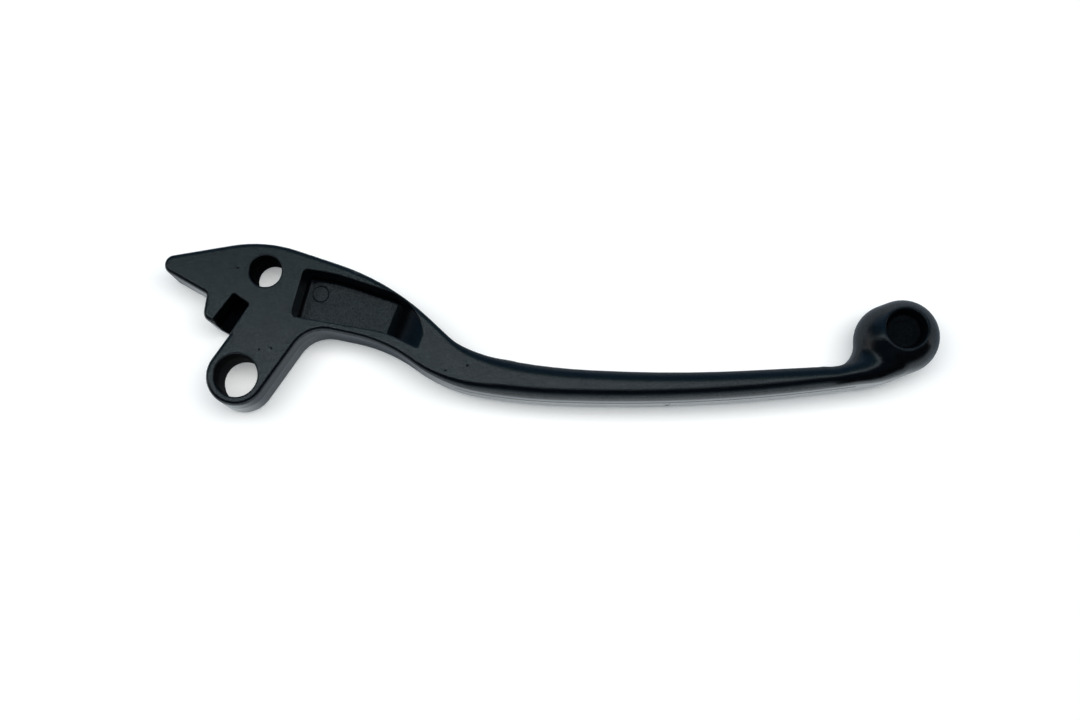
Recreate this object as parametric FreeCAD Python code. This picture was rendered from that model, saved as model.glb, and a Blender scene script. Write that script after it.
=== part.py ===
"""Clutch hand lever: one casting with a flat pierced head, a pocketed arm, a slim blade and a knob."""
import FreeCAD
import Part
import math
import os

# Head and arm
thickness = 12.5
pivot_bore = 10.0
lobe_radius = 6.95
nipple_bore = 7.5
nipple_x = 6.16
nipple_y = 24.35
edge_round = 0.9
bore_chamfer = 0.25
blade_round = 2.45
nose_round = 2.3
hook_round = 0.75
tab_round = 2.2
throat_round = 0.3
root_round = 8.0
arm_lower_round = 36.0
arm_upper_round = 58.0
crown_round = 31.0

# Blind slot beside the nose
slot_x = 0.84
slot_y = 18.0
slot_heading = 55.5
slot_width = 4.6
slot_flare = 2.5
slot_length = 8.4
slot_depth = 9.0
slot_round = 0.4

# Lightening pocket in the arm
pocket_depth = 9.0
pocket_draft = 3.0
pocket_round = 1.5
pocket_end_round = 12.3
pocket_lower_round = 20.0
pocket_upper_round = 40.0
pocket_floor_round = 0.7
ramp_foot_x = 34.7
ramp_foot_y = 14.6
ramp_heading = -20.6
ramp_run = 9.5
ramp_bulge = 1.3
pin_mark = 3.8
pin_mark_depth = 0.2
pin_mark_x = 17.7
pin_mark_y = 20.75

# Knob at the free end: it grows with its diameter from where the neck leaves the blade's lower edge
neck_x = 137.6
neck_y = -2.8
neck_runs = (1.3, 3.9)
neck_round = 2.4
knob_diameter = 17.1
knob_x = neck_x + 0.836 * knob_diameter
knob_y = neck_y + 0.689 * knob_diameter
knob_heading = 20.2
knob_length = 1.167 * knob_diameter
knob_hole = 10.2
knob_hole_floor = 7.6
knob_hole_depth = 5.6
knob_hole_x = 1.15
knob_hole_y = 1.37
knob_lip = 0.4
knob_pin_mark = 5.0
neck_blend = 0.35 * knob_diameter

# Plan corners of the head and arm, each with its own rounding
nose_tip = (-21.84, 27.27, nose_round)
hook_corner = (-7.38, 19.02, hook_round)
tab_corner = (-8.13, 13.52, tab_round)
throat_corner = (-1.5, 10.0, throat_round)
root_corner = (16.22, 11.36, root_round)
arm_lower_corner = (33.58, 7.67, arm_lower_round)
bend_lower = (41.1, 2.3)
bend_upper = (47.35, 10.15)
bend_run = 1.2
arm_upper_corner = (34.99, 21.88, arm_upper_round)
crown_corner = (5.83, 31.87, crown_round)

# Plan corners of the pocket
pocket_corners = [
    (14.95, 25.1, pocket_round), (12.0, 13.7, pocket_round), (34.3, 9.7, pocket_lower_round),
    (43.0, 5.25, pocket_round), (43.2, 16.8, pocket_end_round), (22.5, 23.8, pocket_upper_round),
]

# Bend stations between head and blade: upper edge, lower edge and corner rounding
bend_stations = [
    ((51.0, 7.2), (47.0, -1.1), 1.25),
    ((56.2, 5.0), (53.4, -3.3), 1.75),
    ((60.4, 3.97), (58.6, -4.22), 2.15),
]

# Plan corners of the blade, with the lines across it where its even stretch starts and ends
blade_lower_corners = [(55.0, -3.62, 0), (64.84, -5.36, 135.0), (105.4, -6.77, 370.0), (137.0, -2.89, 0)]
blade_upper_corners = [(137.0, 2.06, 0), (100.0, 0.27, 330.0), (70.1, 1.9, 135.0), (58.0, 4.47, 0)]
blade_start_upper = (64.5, 3.17)
blade_start_lower = (63.5, -4.87)
blade_end_upper = (133.5, 1.89)
blade_end_lower = (134.5, -3.2)

# Neck stations in knob diameters: upper and lower edge from the neck's start, added height, corner rounding
neck_stations = [
    ((0.164, 0.339), (0.261, 0.034), 0.000, 0.147),
    ((0.319, 0.389), (0.434, 0.051), 0.011, 0.166),
    ((0.436, 0.509), (0.623, 0.086), 0.037, 0.221),
    ((0.536, 0.669), (0.831, 0.157), 0.047, 0.282),
    ((0.698, 0.844), (1.008, 0.269), 0.011, 0.302),
]

# Length under which two points or edges touch, and how far a cutter reaches past the face that it opens
edge_gap = 0.01
cut_spare = 1.0
full_turn = 360


def at(x, y, z=0.0):
    return FreeCAD.Vector(x, y, z)


def heading(angle):
    return at(math.cos(math.radians(angle)), math.sin(math.radians(angle)))


def corner_runs(corners, i):
    """Corner i with the directions to the corners before and after it."""
    here = at(*corners[i][:2])
    back = (at(*corners[i - 1][:2]) - here).normalize()
    ahead = (at(*corners[(i + 1) % len(corners)][:2]) - here).normalize()
    return here, back, ahead


def inset(corners, distance):
    """Corners of the same outline drawn in by a distance; a negative one lets it out."""
    moved = []
    for i, corner in enumerate(corners):
        here, back, ahead = corner_runs(corners, i)
        turn = math.copysign(distance, ahead.cross(back).z)
        point = here + (back + ahead).normalize() * (turn / math.sin(back.getAngle(ahead) / 2))
        moved.append((point.x, point.y, corner[2] - turn))
    return moved


def rounded_wire(corners, z):
    """Closed wire of straight runs joined by tangent arcs; each corner is x, y and its radius."""
    runs = []
    for i, corner in enumerate(corners):
        here, back, ahead = corner_runs(corners, i)
        here.z = z
        radius = corner[2]
        half = back.getAngle(ahead) / 2
        if radius == 0:
            runs.append((here, None, here))
            continue
        reach = radius / math.tan(half)
        middle = (back + ahead).normalize() * (radius / math.sin(half) - radius)
        runs.append((here + back * reach, here + middle, here + ahead * reach))
    edges = []
    for i, (start, middle, end) in enumerate(runs):
        if middle:
            edges.append(Part.Arc(start, middle, end).toShape())
        after = runs[(i + 1) % len(runs)][0]
        if end.distanceToPoint(after) > edge_gap:
            edges.append(Part.makeLine(end, after))
    return Part.Wire(edges)


def lobe_normal(corner, side):
    """Direction, in degrees, from the pivot to where a line from the corner touches the lobe."""
    reach = math.hypot(corner[0], corner[1])
    bearing = math.degrees(math.atan2(corner[1], corner[0]))
    return bearing + side * math.degrees(math.acos(lobe_radius / reach))


def lobe_corner(first, second):
    """Corner where two lines that touch the lobe cross."""
    span = math.radians(second - first) / 2
    point = heading((first + second) / 2) * (lobe_radius / math.cos(span))
    return (point.x, point.y, lobe_radius)


def beyond(corner, end, extra):
    """Point on the line from corner through end, a little past the end."""
    run = at(end[0] - corner[0], end[1] - corner[1])
    point = at(*end) + run.normalize() * extra
    return (point.x, point.y, 0.0)


def make_head():
    left = lobe_normal(throat_corner, 1)
    right = lobe_normal(root_corner, -1) + full_turn
    foot = (left + right) / 2
    spare = 6.0
    end_lower = beyond(arm_lower_corner, bend_lower, spare)
    end_upper = beyond(arm_upper_corner, bend_upper, spare)
    corners = [
        nose_tip, hook_corner, tab_corner, throat_corner,
        lobe_corner(left, foot), lobe_corner(foot, right),
        root_corner, arm_lower_corner, end_lower, end_upper, arm_upper_corner, crown_corner,
    ]
    blank = Part.Face(rounded_wire(corners, 0)).extrude(at(0, 0, thickness))
    end_middle = (at(*end_lower[:2]) + at(*end_upper[:2])) * 0.5
    rims = []
    for edge in blank.Edges:
        flat = edge.BoundBox.ZLength < edge_gap
        middle = edge.CenterOfMass
        at_end = middle.distanceToPoint(at(end_middle.x, end_middle.y, middle.z)) < edge_gap
        if flat and not at_end:
            rims.append(edge)
    blank = blank.makeFillet(edge_round, rims)
    return trim_end(blank, bend_upper, bend_lower)


def trim_end(solid, upper, lower):
    """Cuts off what lies beyond a line across; gives what stays and the wire round its new end."""
    across = at(upper[0] - lower[0], upper[1] - lower[1]).normalize()
    onward = at(across.y, -across.x)
    far = solid.BoundBox.DiagonalLength
    left = at(*upper) + across * far
    right = at(*lower) - across * far
    outline = [left, right, right + onward * far, left + onward * far, left]
    scrap = Part.Face(Part.makePolygon(outline)).extrude(at(0, 0, thickness))
    kept = solid.cut(scrap)
    end = max(kept.Faces, key=lambda face: face.normalAt(0, 0).dot(onward))
    return kept, end.OuterWire


def station_wire(upper, lower, height, rounding):
    """Rounded rectangle that stands across the blade between its two edges."""
    upper = at(*upper[:2])
    lower = at(*lower[:2])
    across = upper - lower
    half = across.Length / 2
    across.normalize()
    centre = (upper + lower) * 0.5 + at(0, 0, thickness / 2)
    tall = height / 2
    flat = half - rounding
    wall = tall - rounding
    diagonal = rounding * math.sqrt(0.5)

    def spot(sideways, upward):
        return centre + across * sideways + at(0, 0, upward)

    edges = []
    for side, up in ((1, 1), (1, -1), (-1, -1), (-1, 1)):
        top = spot(side * flat, up * tall)
        bulge = spot(side * (flat + diagonal), up * (wall + diagonal))
        flank = spot(side * half, up * wall)
        if side * up > 0:
            edges.append(Part.Arc(top, bulge, flank).toShape())
            edges.append(Part.makeLine(flank, spot(side * half, -up * wall)))
        else:
            edges.append(Part.Arc(flank, bulge, top).toShape())
            edges.append(Part.makeLine(top, spot(-side * flat, up * tall)))
    return Part.Wire(edges)


def make_blade():
    """Even stretch of the blade, with the wires round its start and its end."""
    outline = rounded_wire(blade_lower_corners + blade_upper_corners, 0)
    blank = Part.Face(outline).extrude(at(0, 0, thickness))
    rims = [edge for edge in blank.Edges if edge.BoundBox.ZLength < edge_gap and edge.Length > thickness]
    blank = blank.makeFillet(blade_round, rims)
    blank, end_wire = trim_end(blank, blade_end_upper, blade_end_lower)
    blank, start_wire = trim_end(blank, blade_start_lower, blade_start_upper)
    return blank, start_wire, end_wire


def make_bend(head_wire, blade_wire):
    """Loft from the head's end to the blade, leaving along the head's edges."""
    upper = beyond(arm_upper_corner, bend_upper, bend_run)
    lower = beyond(arm_lower_corner, bend_lower, bend_run)
    wires = [head_wire, station_wire(upper, lower, thickness, edge_round)]
    for upper, lower, rounding in bend_stations:
        wires.append(station_wire(upper, lower, thickness, rounding))
    return Part.makeLoft(wires + [blade_wire], True, False)


def make_neck(blade_wire):
    """Loft from the blade's end into the knob, leaving along the blade's edges."""
    wires = [blade_wire]
    for run in neck_runs:
        upper = beyond(blade_upper_corners[1], blade_end_upper, run)
        lower = beyond(blade_lower_corners[2], blade_end_lower, run)
        wires.append(station_wire(upper, lower, thickness, neck_round))
    for upper, lower, added, rounding in neck_stations:
        upper = (neck_x + upper[0] * knob_diameter, neck_y + upper[1] * knob_diameter)
        lower = (neck_x + lower[0] * knob_diameter, neck_y + lower[1] * knob_diameter)
        height = thickness + added * knob_diameter
        wires.append(station_wire(upper, lower, height, rounding * knob_diameter))
    return Part.makeLoft(wires, True, False)


def make_knob():
    """Two ball ends with a short barrel between them, on the knob's own heading."""
    radius = knob_diameter / 2
    reach = knob_length / 2 - radius
    bulge = radius * math.sqrt(0.5)
    outline = Part.Wire([
        Part.Arc(at(reach + radius, 0), at(reach + bulge, bulge), at(reach, radius)).toShape(),
        Part.makeLine(at(reach, radius), at(-reach, radius)),
        Part.Arc(at(-reach, radius), at(-reach - bulge, bulge), at(-reach - radius, 0)).toShape(),
        Part.makeLine(at(-reach - radius, 0), at(reach + radius, 0)),
    ])
    knob = Part.Face(outline).revolve(at(0, 0), at(1, 0), full_turn)
    knob.rotate(at(0, 0), at(0, 0, 1), knob_heading)
    knob.translate(at(knob_x, knob_y, thickness / 2))
    return knob


def turned(profile, x, y):
    """Solid turned about an upright axis at x, y; the profile lists radius and height."""
    points = [at(radius, 0, z) for radius, z in profile]
    face = Part.Face(Part.makePolygon(points + points[:1]))
    solid = face.revolve(at(0, 0), at(0, 0, 1), full_turn)
    solid.translate(at(x, y))
    return solid


def bore(diameter, x, y):
    radius = diameter / 2
    mouth = radius + bore_chamfer + cut_spare
    top = thickness + cut_spare
    profile = [
        (0, -cut_spare), (mouth, -cut_spare), (radius, bore_chamfer),
        (radius, thickness - bore_chamfer), (mouth, top), (0, top),
    ]
    return turned(profile, x, y)


def make_slot():
    inner = slot_width / 2
    outer = inner + slot_length * math.tan(math.radians(slot_flare))
    corners = [
        (0, -inner, slot_round), (0, inner, slot_round),
        (-slot_length, outer, 0), (-slot_length, -outer, 0),
    ]
    slot = Part.Face(rounded_wire(corners, 0)).extrude(at(0, 0, slot_depth + cut_spare))
    slot.rotate(at(0, 0), at(0, 0, 1), slot_heading)
    slot.translate(at(slot_x, slot_y, thickness - slot_depth))
    return slot


def make_pocket():
    slope = math.tan(math.radians(pocket_draft))
    low = thickness - pocket_depth
    floor = rounded_wire(inset(pocket_corners, pocket_depth * slope), low)
    opening = rounded_wire(inset(pocket_corners, -cut_spare * slope), thickness + cut_spare)
    hollow = Part.makeLoft([floor, opening], True, True)
    rims = [edge for edge in hollow.Edges if edge.BoundBox.ZMax < low + edge_gap]
    hollow = hollow.makeFillet(pocket_floor_round, rims)
    foot = at(0, 0, low)
    crest = at(ramp_run, 0, thickness)
    chord = crest - foot
    swell = (foot + crest) * 0.5 + at(-chord.z, 0, chord.x).normalize() * ramp_bulge
    over = thickness + 2 * cut_spare
    under = low - cut_spare
    ramp = Part.Wire([
        Part.Arc(foot, swell, crest).toShape(),
        Part.makeLine(crest, at(ramp_run, 0, over)),
        Part.makeLine(at(ramp_run, 0, over), at(2 * ramp_run, 0, over)),
        Part.makeLine(at(2 * ramp_run, 0, over), at(2 * ramp_run, 0, under)),
        Part.makeLine(at(2 * ramp_run, 0, under), at(0, 0, under)),
        Part.makeLine(at(0, 0, under), foot),
    ])
    ramp.translate(at(0, -2 * ramp_run, 0))
    ramp = Part.Face(ramp).extrude(at(0, 4 * ramp_run, 0))
    ramp.rotate(at(0, 0), at(0, 0, 1), ramp_heading)
    ramp.translate(at(ramp_foot_x, ramp_foot_y))
    return hollow.cut(ramp)


def make_knob_hole():
    top = thickness / 2 + knob_diameter / 2
    low = top - knob_hole_depth
    mark = knob_pin_mark / 2
    profile = [
        (0, low - pin_mark_depth), (mark, low - pin_mark_depth), (mark, low),
        (knob_hole_floor / 2, low), (knob_hole / 2, top), (0, top),
    ]
    return turned(profile, knob_x + knob_hole_x, knob_y + knob_hole_y)


def blend_neck(neck, knob):
    """Neck and knob in one, with a soft fillet all round where they meet."""
    grip = neck.fuse(knob).removeSplitter()
    meeting = []
    for edge in grip.Edges:
        kinds = [face.Surface.TypeId for face in grip.ancestorsOfType(edge, Part.Face)]
        lofted = [kind for kind in kinds if "BSpline" in kind]
        if len(lofted) == 1 and not any("Plane" in kind for kind in kinds):
            meeting.append(edge)
    return grip.makeFillet(neck_blend, meeting)


def soften_mouth(lever):
    """Rounds the rim of the knob's hole."""
    cones = [face for face in lever.Faces if "Cone" in face.Surface.TypeId]
    wall = max(cones, key=lambda face: face.CenterOfMass.x)
    floor = wall.BoundBox.ZMin
    rim = [edge for edge in wall.Edges if edge.BoundBox.ZMin > floor + edge_gap and not edge.isSeam(wall)]
    return lever.makeFillet(knob_lip, rim)


head, head_wire = make_head()
blade, start_wire, end_wire = make_blade()
bend = make_bend(head_wire, start_wire)
grip = blend_neck(make_neck(end_wire), make_knob())
lever = head.fuse(bend).fuse(blade).fuse(grip).removeSplitter()
pin_place = at(pin_mark_x, pin_mark_y, thickness - pocket_depth - pin_mark_depth)
cutters = [
    bore(pivot_bore, 0, 0), bore(nipple_bore, nipple_x, nipple_y), make_slot(), make_pocket(),
    Part.makeCylinder(pin_mark / 2, pin_mark_depth + cut_spare, pin_place), make_knob_hole(),
]
for cutter in cutters:
    lever = lever.cut(cutter)
lever = soften_mouth(lever).Solids[0]

# The origin is the middle of the pivot bore
lever.translate(at(0, 0, -thickness / 2))
os.makedirs("parts", exist_ok=True)
lever.exportStep("parts/lever.step")
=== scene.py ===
"""Looks of the clutch lever: satin black paint on a casting that lies on a white table in soft light."""
import math
from functools import reduce
import bpy
from mathutils import Matrix, Vector
from mathutils.bvhtree import BVHTree


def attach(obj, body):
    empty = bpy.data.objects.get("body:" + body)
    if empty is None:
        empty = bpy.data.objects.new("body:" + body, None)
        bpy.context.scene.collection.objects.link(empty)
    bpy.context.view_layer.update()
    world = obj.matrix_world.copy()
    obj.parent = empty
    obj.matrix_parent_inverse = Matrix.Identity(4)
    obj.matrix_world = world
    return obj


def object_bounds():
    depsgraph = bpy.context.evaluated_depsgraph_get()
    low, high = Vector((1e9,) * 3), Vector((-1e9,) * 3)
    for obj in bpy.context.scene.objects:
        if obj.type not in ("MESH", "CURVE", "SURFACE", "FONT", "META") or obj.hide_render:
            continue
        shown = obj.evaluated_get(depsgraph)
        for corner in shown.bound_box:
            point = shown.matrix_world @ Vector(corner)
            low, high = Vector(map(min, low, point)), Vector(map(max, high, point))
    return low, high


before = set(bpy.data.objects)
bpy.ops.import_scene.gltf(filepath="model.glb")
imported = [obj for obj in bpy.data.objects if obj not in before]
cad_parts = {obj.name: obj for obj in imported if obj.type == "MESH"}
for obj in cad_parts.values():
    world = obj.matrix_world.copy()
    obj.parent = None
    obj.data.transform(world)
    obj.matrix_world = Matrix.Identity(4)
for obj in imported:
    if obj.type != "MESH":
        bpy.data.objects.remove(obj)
cad_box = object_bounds()
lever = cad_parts["lever"]

# Sizes and places are in millimetres where no comment says metres; Blender works in metres
MM = 0.001

# Camera, solved from the photograph: focal length in pixels of a picture 1080 wide
PICTURE_WIDTH = 1080
FOCAL_PIXELS = 1600
SENSOR_WIDTH = 36
NEAREST_SEEN = 10
CAMERA_PLACE = Vector((76.21, -57.37, 365.75))
CAMERA_RIGHT = Vector((0.99983, 0.0, -0.018485))
CAMERA_UP = Vector((0.003076, 0.98606, 0.16637))

# Soft box over the table, in metres and watts
BOX_PLACE = Vector((0.07, 0.08, 0.9))
BOX_AIM = Vector((0.07, 0.0, 0.0))
BOX_SIZE = (1.2, 0.4)
BOX_POWER = 9.6
BOX_COLOUR = (1, 0.985, 0.965)

# Light of the room by degrees from overhead, round the lever's length: minus is the near side
ROOM = (
    (-180, (0.30, 0.31, 0.32)),
    (-90, (0.60, 0.68, 0.72)),
    (-73, (0.46, 0.56, 0.62)),
    (-60, (0.26, 0.34, 0.40)),
    (-48, (0.07, 0.11, 0.14)),
    (-38, (0.008, 0.016, 0.028)),
    (-20, (0.002, 0.006, 0.014)),
    (2, (0.006, 0.014, 0.026)),
    (5, (0.50, 0.60, 0.68)),
    (7, (1.25, 1.44, 1.60)),
    (9, (1.12, 1.32, 1.44)),
    (10.5, (0.15, 0.27, 0.25)),
    (16, (0.06, 0.13, 0.135)),
    (25, (0.050, 0.11, 0.16)),
    (36, (0.030, 0.085, 0.14)),
    (60, (0.040, 0.10, 0.17)),
    (84, (0.15, 0.22, 0.30)),
    (100, (0.25, 0.29, 0.33)),
    (180, (0.30, 0.31, 0.32)),
)

# The room is dimmer towards the lever's two ends and paler right at them: share along X, and level there
DIM_SPAN, DIM_LEVEL = (0.5, 0.9), 0.35
END_SPAN, END_LIGHT = (0.86, 1.0), 0.3

# Table: where the lever rests on it, under the nose and under the knob, its gap to the lever and its reach
NOSE_FOOT_X, KNOB_FOOT_X = -15, 152
HEAD_LOW = -6.25
TABLE_GAP = 0.05
TABLE_REACH = 1500
TABLE_ROUGHNESS = 0.9
TABLE_COLOUR = (0.86, 0.86, 0.86)
# Painted reflection: the table's colour where the paint mirrors it, darker and cooler than the white the
# camera sees
TABLE_PAINTED_REFLECTION_COLOUR = (0.19, 0.23, 0.27)
GLOW_COLOUR = (0.94, 1.0, 1.02)

# Glow of the table for the camera: its distances from the pivot, and the level at each
SEEN_SPAN, SEEN_GLOW = (300, 900), (0.2, 1.0)

# Painted reflection: glow of the table that only the paint mirrors, set by place along the lever to light
# the walls' reflections, and fading past a line on its far side
PAINTED_REFLECTION_GLOW = (
    (-20, 0.62), (-2, 0.62), (6, 0.12), (22, 0.12), (34, 0.3),
    (50, 0.5), (70, 0.62), (155, 0.62), (167, 0.25), (180, 0.12),
)
FADE_LINE_X, FADE_LINE_Y = (5, 30), (24, 3)
FADE_SPAN, FADE_LEVEL = (-6, 2), 0.1

# Black card beside the knob, seen only in the paint's reflections, where it paints shade on the knob's near
# side: its place along the lever, its distance and its height
CARD_FROM, CARD_TO = 141, 240
CARD_Y = -15
CARD_LOW_LEFT, CARD_LOW_RIGHT, CARD_HIGH = 5.5, -8, 28

# Holes whose walls are dull: place of the axis and radius, with the width over which the mask ends
PIVOT_BORE = (0.0, 0.0, 4.97)
NIPPLE_BORE = (6.16, 24.35, 3.72)
SLOT_ROUND = (-1.0, 15.2, 4.9)
KNOB_AXIS = (153.05, 10.35)
KNOB_HOLE = (*KNOB_AXIS, 4.75)
KNOB_LIP = (*KNOB_AXIS, 5.2)
ROUND_EDGE = (0.05, 0.15)

# Heights over which a mask sets in
SLOT_MOUTH = (5.9, 6.15)
SLOT_FLOOR = (-3.05, -2.95)
KNOB_FLOOR = (2.04, 2.14)
FLAT_TOP = (6.0, 6.2)
SUNK_FLOORS = (2, 3)

# Small dark specks in the paint of the flat top: place and radius
SPECKS = (
    (-0.5, 25.15, 0.16),
    (-0.1, 25.1, 0.16),
    (5.23, 5.94, 0.2),
    (7.98, 6.28, 0.2),
    (53.01, 2.13, 0.26),
    (48.0, 0.99, 0.2),
)

# Noises of the paint: scale and detail
MOTTLE_NOISE = (900, 3)
GLOSS_NOISE = (260, 4)
SKIN_NOISE = (3400, 2)

# Paint: its mottle, its roughness and shine, and how dull it is in the knob's hole and at a speck
MOTTLE = ((0.35, (0.0008, 0.0012, 0.0018)), (0.7, (0.0018, 0.0024, 0.0032)))
GLOSS_SPAN, ROUGHNESS = (0.3, 0.7), (0.175, 0.22)
LEVEL_SPAN, SUNK_ROUGHNESS = (0.8, 0.9), 0.09
DULL_ROUGHNESS = 0.85
KNOB_DULL, SPECK_DULL = 0.75, 0.5
GRAIN_SPAN, GRAIN = (0.35, 0.65), (0.66, 1.34)
EDGE_ON_SPAN, EDGE_ON_SHINE = (0.86, 1.0), 0.12
DULL_SHINE = 0.03

# Rims look softer on the blade than on the head, where they are crisp, and crispest inside the knob's lip
BLADE_SOFTNESS, LIP_SOFTNESS = 1.2, 0.2
RIM_SAMPLES = 8
HEAD_END, HEAD_CRISP = (44, 62), 0.85
SKIN_STRENGTH, SKIN_DEPTH = 0.5, 0.05

# Seam where the mould's halves met, on the near side, and the mark of a mould insert under it
SEAM_HEIGHT = 0.85
SEAM_FROM, SEAM_TO = 50, 142
SEAM_STEP = 0.5
SEAM_RADIUS = 0.06
SEAM_SIDES = 8
MARK_X = 99.4
MARK_LEFT = 98.5
MARK_LOW = -3.4
MARK_ROWS = 8
RAY_START_Y = -100

# The walls lean away from the seam, below it and above it, up to the knob
LEAN_SPAN, LEAN = (SEAM_HEIGHT - 0.1, SEAM_HEIGHT + 0.1), (-0.04, 0.08)
LEAN_END = (136, 146)


def feed(tree, socket, value):
    """Links a socket to another one, or sets its value."""
    if isinstance(value, bpy.types.NodeSocket):
        tree.links.new(value, socket)
    else:
        socket.default_value = value


def add_node(tree, kind, **inputs):
    """A shader node with some of its inputs fed; an underscore in a name stands for a space."""
    node = tree.nodes.new(kind)
    for name, value in inputs.items():
        feed(tree, node.inputs[name.replace("_", " ")], value)
    return node


def map_range(tree, value, span, levels):
    """Value that goes from one level to another while the input goes through a span."""
    node = add_node(tree, "ShaderNodeMapRange", Value=value, From_Min=span[0], From_Max=span[1],
                    To_Min=levels[0], To_Max=levels[1])
    return node.outputs["Result"]


def by_place(tree, coordinate, span, levels):
    """Value that goes from one level to another over a span of millimetres."""
    return map_range(tree, coordinate, (span[0] * MM, span[1] * MM), levels)


def math_node(tree, operation, first, second=0.0):
    """Result of a math node; an input is a socket or a number."""
    node = tree.nodes.new("ShaderNodeMath")
    node.operation = operation
    for socket, value in zip(node.inputs, (first, second)):
        feed(tree, socket, value)
    return node.outputs["Value"]


def combine(tree, operation, *values):
    """One math operation over several values."""
    return reduce(lambda result, value: math_node(tree, operation, result, value), values)


def vector_node(tree, operation, first, second=(0, 0, 0)):
    """Result of a vector math node; an input is a socket or three numbers."""
    node = tree.nodes.new("ShaderNodeVectorMath")
    node.operation = operation
    for socket, value in zip(node.inputs, (first, second)):
        feed(tree, socket, value)
    return node.outputs["Value" if operation == "LENGTH" else "Vector"]


def mix_colours(tree, share, first, second):
    """Colour between two; each is a socket or four numbers."""
    mix = tree.nodes.new("ShaderNodeMix")
    mix.data_type = "RGBA"
    feed(tree, mix.inputs["Factor"], share)
    sockets = [socket for socket in mix.inputs if socket.type == "RGBA"]
    for socket, colour in zip(sockets, (first, second)):
        feed(tree, socket, colour)
    return next(socket for socket in mix.outputs if socket.type == "RGBA")


def make_ramp(tree, share, stops):
    """Colour along a row of stops, each a share from 0 to 1 and its colour."""
    ramp = add_node(tree, "ShaderNodeValToRGB", Fac=share)
    elements = ramp.color_ramp.elements
    ready = len(elements)
    for number, (position, colour) in enumerate(stops):
        element = elements[number] if number < ready else elements.new(1)
        element.position = position
        element.color = (*colour, 1)
    return ramp.outputs["Color"]


def spread(rows):
    """Stops for a ramp: each row's place becomes a share of the way from the first to the last."""
    first, last = rows[0][0], rows[-1][0]
    return [((place - first) / (last - first), colour) for place, colour in rows]


def noise(tree, place, kind):
    scale, detail = kind
    return add_node(tree, "ShaderNodeTexNoise", Vector=place, Scale=scale, Detail=detail).outputs["Fac"]


def new_material(name):
    """A node material with its tree and its shader."""
    material = bpy.data.materials.new(name)
    material.use_nodes = True
    tree = material.node_tree
    return material, tree, tree.nodes["Principled BSDF"]


def add_object(name, data):
    thing = bpy.data.objects.new(name, data)
    bpy.context.scene.collection.objects.link(thing)
    return thing


def make_sheet(name, corners, material):
    """Flat piece with four corners."""
    mesh = bpy.data.meshes.new(name)
    mesh.from_pydata(corners, [], [(0, 1, 2, 3)])
    mesh.materials.append(material)
    return add_object(name, mesh)


def inside_round(tree, place, hole):
    """Mask that is 1 near an upright axis and 0 past the radius."""
    x, y, radius = hole
    aside = vector_node(tree, "SUBTRACT", place, (x * MM, y * MM, 0))
    distance = vector_node(tree, "LENGTH", vector_node(tree, "MULTIPLY", aside, (1, 1, 0)))
    return by_place(tree, distance, [radius + edge for edge in ROUND_EDGE], (1, 0))


def make_dullness(tree, place, height):
    """How dull the paint is: in the bores, the slot and the knob's hole, and a little at the specks."""
    slot = combine(tree, "MULTIPLY", inside_round(tree, place, SLOT_ROUND),
                   by_place(tree, height, SLOT_MOUTH, (1, 0)), by_place(tree, height, SLOT_FLOOR, (0, 1)))
    knob = combine(tree, "MULTIPLY", inside_round(tree, place, KNOB_HOLE),
                   by_place(tree, height, KNOB_FLOOR, (0, KNOB_DULL)))
    specks = combine(tree, "MAXIMUM", *[inside_round(tree, place, speck) for speck in SPECKS])
    specks = combine(tree, "MULTIPLY", specks, by_place(tree, height, FLAT_TOP, (0, SPECK_DULL)))
    bores = [inside_round(tree, place, bore) for bore in (PIVOT_BORE, NIPPLE_BORE)]
    return combine(tree, "MAXIMUM", *bores, slot, knob, specks)


def make_roughness(tree, place, height, dull):
    """Uneven gloss, a little rougher on sunk floors and matt where the paint is dull."""
    rough = map_range(tree, noise(tree, place, GLOSS_NOISE), GLOSS_SPAN, ROUGHNESS)
    geometry = tree.nodes.new("ShaderNodeNewGeometry")
    upward = add_node(tree, "ShaderNodeSeparateXYZ", Vector=geometry.outputs["True Normal"]).outputs["Z"]
    sunk = combine(tree, "MULTIPLY", map_range(tree, upward, LEVEL_SPAN, (0, 1)),
                   by_place(tree, height, SUNK_FLOORS, (1, 0)), SUNK_ROUGHNESS)
    rough = math_node(tree, "ADD", rough, sunk)
    return math_node(tree, "MAXIMUM", rough, math_node(tree, "MULTIPLY", dull, DULL_ROUGHNESS))


def make_normal(tree, place, apart, skin):
    """Softened rims, the fine skin and the lean of the walls away from the seam."""
    head = by_place(tree, apart["X"], HEAD_END, (HEAD_CRISP, 0))
    crisp = math_node(tree, "MAXIMUM", head, inside_round(tree, place, KNOB_LIP))
    radius = map_range(tree, crisp, (0, 1), (BLADE_SOFTNESS * MM, LIP_SOFTNESS * MM))
    soft = add_node(tree, "ShaderNodeBevel", Radius=radius)
    soft.samples = RIM_SAMPLES
    bump = add_node(tree, "ShaderNodeBump", Height=skin, Strength=SKIN_STRENGTH, Distance=SKIN_DEPTH * MM,
                    Normal=soft.outputs["Normal"])
    lean = math_node(tree, "MULTIPLY", by_place(tree, apart["Z"], LEAN_SPAN, LEAN),
                     by_place(tree, apart["X"], LEAN_END, (1, 0)))
    upward = add_node(tree, "ShaderNodeCombineXYZ", Z=lean).outputs["Vector"]
    return vector_node(tree, "NORMALIZE", vector_node(tree, "ADD", bump.outputs["Normal"], upward))


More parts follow.
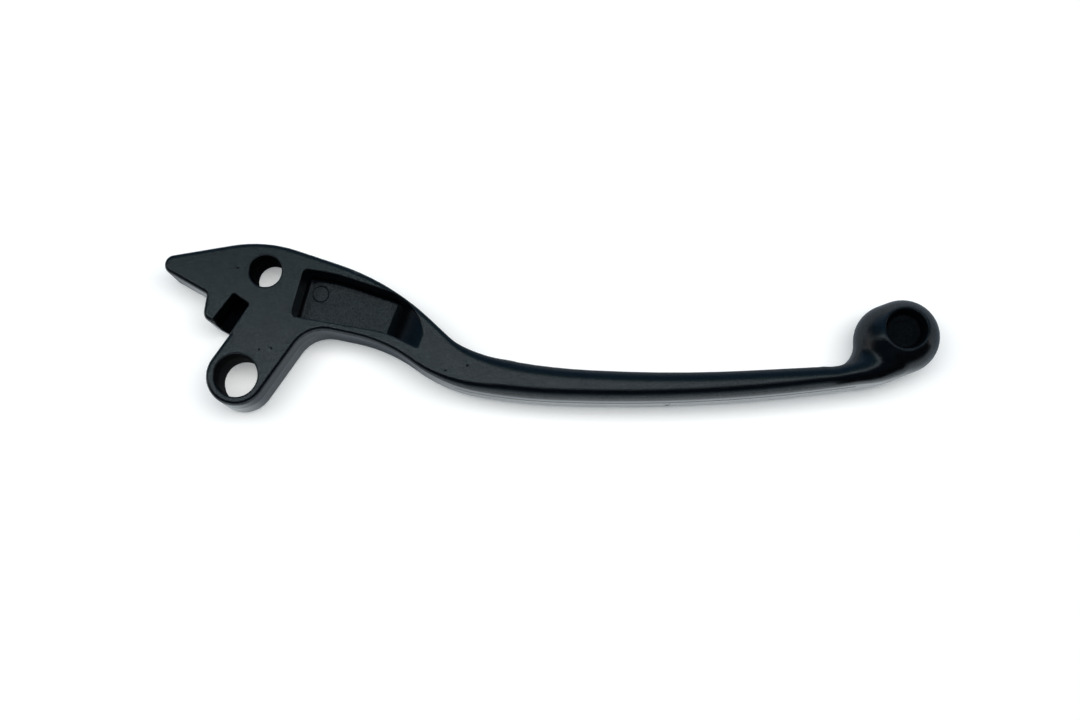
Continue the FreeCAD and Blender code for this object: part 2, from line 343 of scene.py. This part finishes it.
def make_paint():
    """Satin black paint: a faint cool mottle and a fine pebbled skin, dull inside the holes."""
    material, tree, shader = new_material("satin_black_paint")
    place = tree.nodes.new("ShaderNodeTexCoord").outputs["Object"]
    apart = add_node(tree, "ShaderNodeSeparateXYZ", Vector=place).outputs
    dull = make_dullness(tree, place, apart["Z"])
    skin = noise(tree, place, SKIN_NOISE)
    facing = tree.nodes.new("ShaderNodeLayerWeight").outputs["Facing"]
    shine = combine(tree, "MULTIPLY", map_range(tree, skin, GRAIN_SPAN, GRAIN),
                    map_range(tree, facing, EDGE_ON_SPAN, (1, EDGE_ON_SHINE)),
                    map_range(tree, dull, (0, 1), (1, DULL_SHINE)))
    feed(tree, shader.inputs["Base Color"], make_ramp(tree, noise(tree, place, MOTTLE_NOISE), MOTTLE))
    feed(tree, shader.inputs["Roughness"], make_roughness(tree, place, apart["Z"], dull))
    feed(tree, shader.inputs["Normal"], make_normal(tree, place, apart, skin))
    feed(tree, shader.inputs["Specular IOR Level"], shine)
    return material


def make_bead(name, path, paint):
    """A fine raised line of paint along a path on the lever."""
    points, faces = [], []
    for number, spot in enumerate(path):
        before = path[max(number - 1, 0)]
        after = path[min(number + 1, len(path) - 1)]
        turn = (after - before).to_track_quat("Z", "Y")
        for side in range(SEAM_SIDES):
            angle = 2 * math.pi * side / SEAM_SIDES
            points.append(spot + turn @ Vector((math.cos(angle), math.sin(angle), 0)) * SEAM_RADIUS * MM)
    for number in range(len(path) - 1):
        first, second = number * SEAM_SIDES, (number + 1) * SEAM_SIDES
        for side in range(SEAM_SIDES):
            following = (side + 1) % SEAM_SIDES
            faces.append((first + side, first + following, second + following, second + side))
    mesh = bpy.data.meshes.new(name)
    mesh.from_pydata(points, [], faces)
    mesh.shade_smooth()
    mesh.materials.append(paint)
    bead = add_object(name, mesh)
    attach(bead, "root")


def make_seam(paint):
    """The mould's seam and the insert's mark, as beads on the lever's near side."""
    surface = BVHTree.FromObject(lever, bpy.context.evaluated_depsgraph_get())

    def spot(x, z):
        return surface.ray_cast(Vector((x, RAY_START_Y, z)) * MM, Vector((0, 1, 0)))[0]

    steps = int((SEAM_TO - SEAM_FROM) / SEAM_STEP)
    make_bead("seam", [spot(SEAM_FROM + SEAM_STEP * n, SEAM_HEIGHT) for n in range(steps + 1)], paint)
    drop = (MARK_LOW - SEAM_HEIGHT) / MARK_ROWS
    make_bead("insert_mark", [spot(MARK_X, SEAM_HEIGHT + drop * n) for n in range(MARK_ROWS + 1)], paint)
    make_bead("insert_mark_foot", [spot(x, MARK_LOW) for x in (MARK_LEFT, MARK_X)], paint)


def make_table_glow_and_painted_reflection(tree, spot, path):
    """Strength of the table's glow: evenly white to the camera, and for the paint a painted reflection, set
    by place along the lever and dimmer past a line on its far side.
    """
    seen = by_place(tree, vector_node(tree, "LENGTH", spot), SEEN_SPAN, SEEN_GLOW)
    apart = add_node(tree, "ShaderNodeSeparateXYZ", Vector=spot).outputs
    # Painted reflection: the glow the paint mirrors is set by place along the lever
    stops = spread([(x, (level, level, level)) for x, level in PAINTED_REFLECTION_GLOW])
    share = by_place(tree, apart["X"], (PAINTED_REFLECTION_GLOW[0][0], PAINTED_REFLECTION_GLOW[-1][0]), (0, 1))
    along = make_ramp(tree, share, stops)
    line = by_place(tree, apart["X"], FADE_LINE_X, [y * MM for y in FADE_LINE_Y])
    beyond = math_node(tree, "SUBTRACT", apart["Y"], line)
    # Painted reflection, dimmer past a line on the lever's far side
    near = math_node(tree, "MULTIPLY", along, by_place(tree, beyond, FADE_SPAN, (1, FADE_LEVEL)))
    return math_node(tree, "ADD", math_node(tree, "MULTIPLY", path["Is Camera Ray"], seen),
                     math_node(tree, "MULTIPLY", path["Is Glossy Ray"], near))


def make_table_with_painted_reflection():
    """White table top, clear from beneath, with a painted reflection: the paint mirrors it darker and
    cooler, and its glow for the paint is set by place.
    """
    material, tree, shader = new_material("white_table_with_painted_reflection")
    shader.inputs["Roughness"].default_value = TABLE_ROUGHNESS
    shader.inputs["Specular IOR Level"].default_value = 0.0
    shader.inputs["Emission Color"].default_value = (*GLOW_COLOUR, 1)
    path = tree.nodes.new("ShaderNodeLightPath").outputs
    geometry = tree.nodes.new("ShaderNodeNewGeometry").outputs
    # Painted reflection: glossy rays see a darker, cooler table than the camera does
    colour = mix_colours(tree, path["Is Glossy Ray"], (*TABLE_COLOUR, 1), (*TABLE_PAINTED_REFLECTION_COLOUR, 1))
    feed(tree, shader.inputs["Base Color"], colour)
    feed(tree, shader.inputs["Emission Strength"], make_table_glow_and_painted_reflection(tree, geometry["Position"], path))
    clear = tree.nodes.new("ShaderNodeBsdfTransparent")
    sides = tree.nodes.new("ShaderNodeMixShader")
    share, above, beneath = sides.inputs
    feed(tree, share, geometry["Backfacing"])
    feed(tree, above, shader.outputs["BSDF"])
    feed(tree, beneath, clear.outputs["BSDF"])
    feed(tree, tree.nodes["Material Output"].inputs["Surface"], sides.outputs["Shader"])
    return material


def make_floor():
    """White table under the lever, tilted as the lever lies on it."""
    slope = (cad_box[0].z / MM - HEAD_LOW) / (KNOB_FOOT_X - NOSE_FOOT_X)
    corners = []
    for x, y in ((-1, -1), (1, -1), (1, 1), (-1, 1)):
        spot = Vector((x * TABLE_REACH, y * TABLE_REACH, HEAD_LOW - TABLE_GAP))
        spot.z += slope * (spot.x - NOSE_FOOT_X)
        corners.append(spot * MM)
    table = make_sheet("table", corners, make_table_with_painted_reflection())


def make_painted_shade_card():
    """Black card seen only in reflections: painted shade that keeps the room's pale near side out of the
    knob.
    """
    material, _, shader = new_material("painted_shade_black_card")
    shader.inputs["Base Color"].default_value = (0, 0, 0, 1)
    shader.inputs["Specular IOR Level"].default_value = 0.0
    outline = (
        (CARD_FROM, CARD_LOW_LEFT), (CARD_TO, CARD_LOW_RIGHT), (CARD_TO, CARD_HIGH), (CARD_FROM, CARD_HIGH),
    )
    card = make_sheet("card", [Vector((x, CARD_Y, z)) * MM for x, z in outline], material)
    # Hidden from the camera, diffuse light and shadows, so it only paints shade into the knob's reflection
    card.visible_camera = False
    card.visible_diffuse = False
    card.visible_shadow = False


def make_soft_box():
    """A wide soft box over the table. The paint mirrors the room, not the box."""
    lamp = bpy.data.lights.new("fill", "AREA")
    lamp.shape = "RECTANGLE"
    lamp.size, lamp.size_y = BOX_SIZE
    lamp.energy = BOX_POWER
    lamp.color = BOX_COLOUR
    holder = add_object("fill", lamp)
    holder.location = BOX_PLACE
    holder.rotation_mode = "QUATERNION"
    holder.rotation_quaternion = (BOX_AIM - BOX_PLACE).to_track_quat("-Z", "Y")
    holder.visible_glossy = False


def make_world():
    """The room round the lever: dark behind the camera, a strip lamp overhead, a cool dim far side."""
    world = bpy.data.worlds.new("studio")
    world.use_nodes = True
    tree = world.node_tree
    towards = tree.nodes.new("ShaderNodeTexCoord").outputs["Generated"]
    ray = add_node(tree, "ShaderNodeSeparateXYZ", Vector=towards).outputs
    angle = math_node(tree, "ARCTAN2", ray["Y"], ray["Z"])
    turn = (math.radians(ROOM[0][0]), math.radians(ROOM[-1][0]))
    room = make_ramp(tree, map_range(tree, angle, turn, (0, 1)), spread(ROOM))
    aside = math_node(tree, "ABSOLUTE", ray["X"])
    dimmed = vector_node(tree, "MULTIPLY", room, map_range(tree, aside, DIM_SPAN, (1, DIM_LEVEL)))
    lit = vector_node(tree, "ADD", dimmed, map_range(tree, aside, END_SPAN, (0, END_LIGHT)))
    seen = tree.nodes.new("ShaderNodeLightPath").outputs["Is Camera Ray"]
    feed(tree, tree.nodes["Background"].inputs["Color"], mix_colours(tree, seen, lit, (1, 1, 1, 1)))
    bpy.context.scene.world = world


def make_camera():
    camera = add_object("camera", bpy.data.cameras.new("camera"))
    camera.data.sensor_width = SENSOR_WIDTH
    camera.data.lens = SENSOR_WIDTH * FOCAL_PIXELS / PICTURE_WIDTH
    camera.data.clip_start = NEAREST_SEEN * MM
    turn = Matrix((CAMERA_RIGHT, CAMERA_UP, CAMERA_RIGHT.cross(CAMERA_UP))).transposed()
    camera.matrix_world = Matrix.Translation(CAMERA_PLACE * MM) @ turn.to_4x4()
    bpy.context.scene.camera = camera


paint = make_paint()
lever.data.materials.clear()
lever.data.materials.append(paint)
make_seam(paint)
make_floor()
make_painted_shade_card()
make_soft_box()
make_world()
make_camera()
bpy.context.scene.view_settings.view_transform = "Standard"
